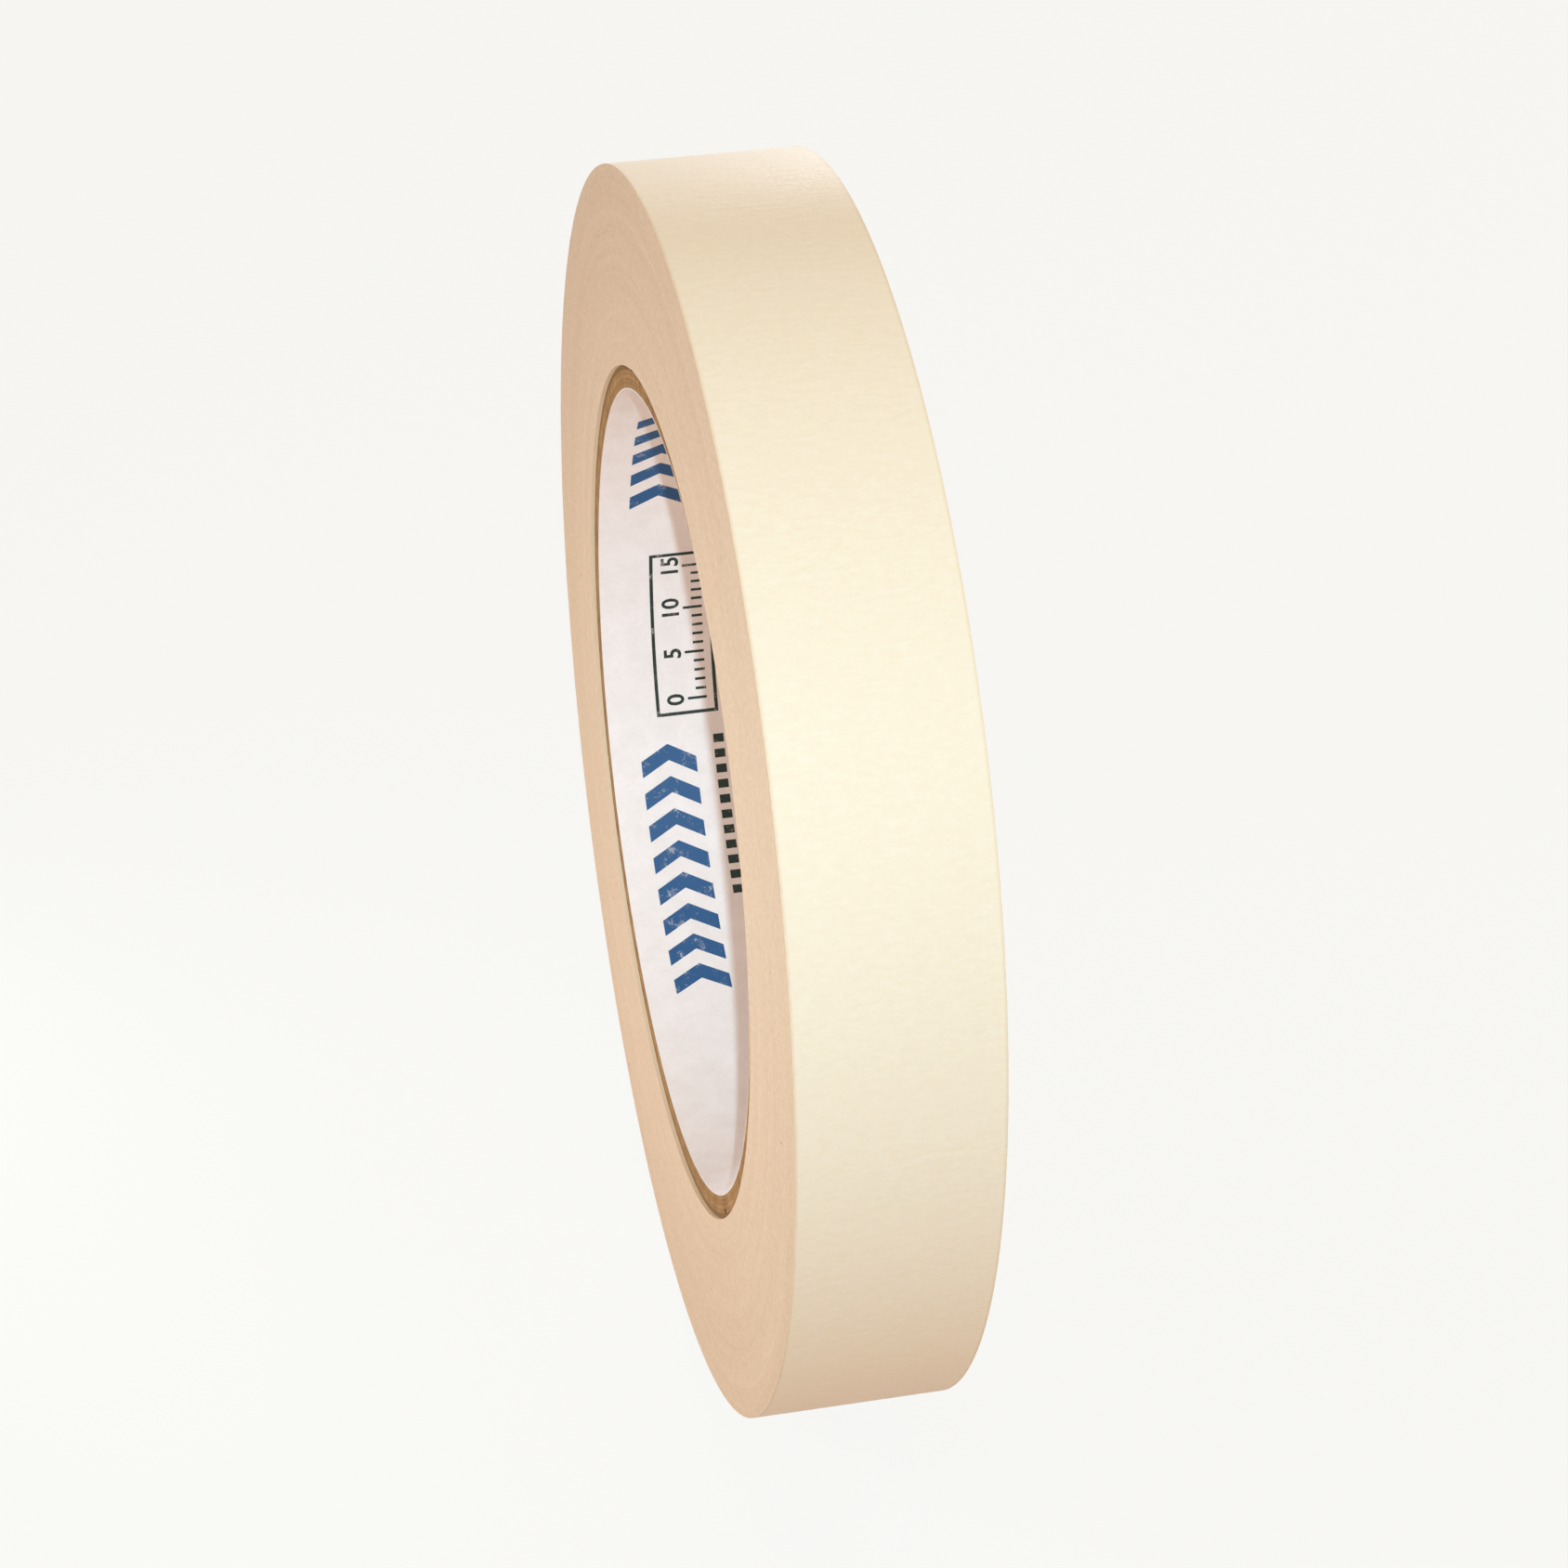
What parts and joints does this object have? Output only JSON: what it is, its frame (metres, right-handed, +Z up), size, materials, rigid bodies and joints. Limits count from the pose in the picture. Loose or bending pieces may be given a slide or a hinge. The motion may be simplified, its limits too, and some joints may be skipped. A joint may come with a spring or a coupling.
{
  "type": "masking tape roll",
  "caption": "Roll of crepe masking tape wound on a spiral cardboard core with a 3 inch bore; its free end folds back at a hinge line.",
  "frame": {"origin": "centre of the core's bore, at mid width of the tape", "axes": "+Z up, with the roll stood on its rim; Y along the roll's axis, +Y towards the far side of the tape; the free end lies on the -X side"},
  "size_m": [0.1179, 0.018, 0.1178],
  "materials": {
    "liner_paper": "smooth white paper, lightly calendered",
    "chipboard": "raw grey-brown chipboard, slit edge",
    "tape_edge": "slit edges of wound crepe paper and adhesive, dull",
    "crepe_paper": "saturated crepe paper with a release coat, satin"
  },
  "bodies": {
    "roll": {"core_liner": "liner_paper", "core_ply_1": "chipboard", "core_ply_2": "chipboard", "core_ply_3": "chipboard", "core_ply_4": "chipboard", "core_ply_5": "chipboard", "tape_winding": "tape_edge"},
    "free_end": {"tape_free_end": "crepe_paper"}
  },
  "joints": [
    {"name": "peel", "type": "hinge", "parent": "roll", "child": "free_end", "pos_m": [-0.05896, 0, 0], "axis": [0, 1, 0], "range_deg": [0, 165]}
  ]
}
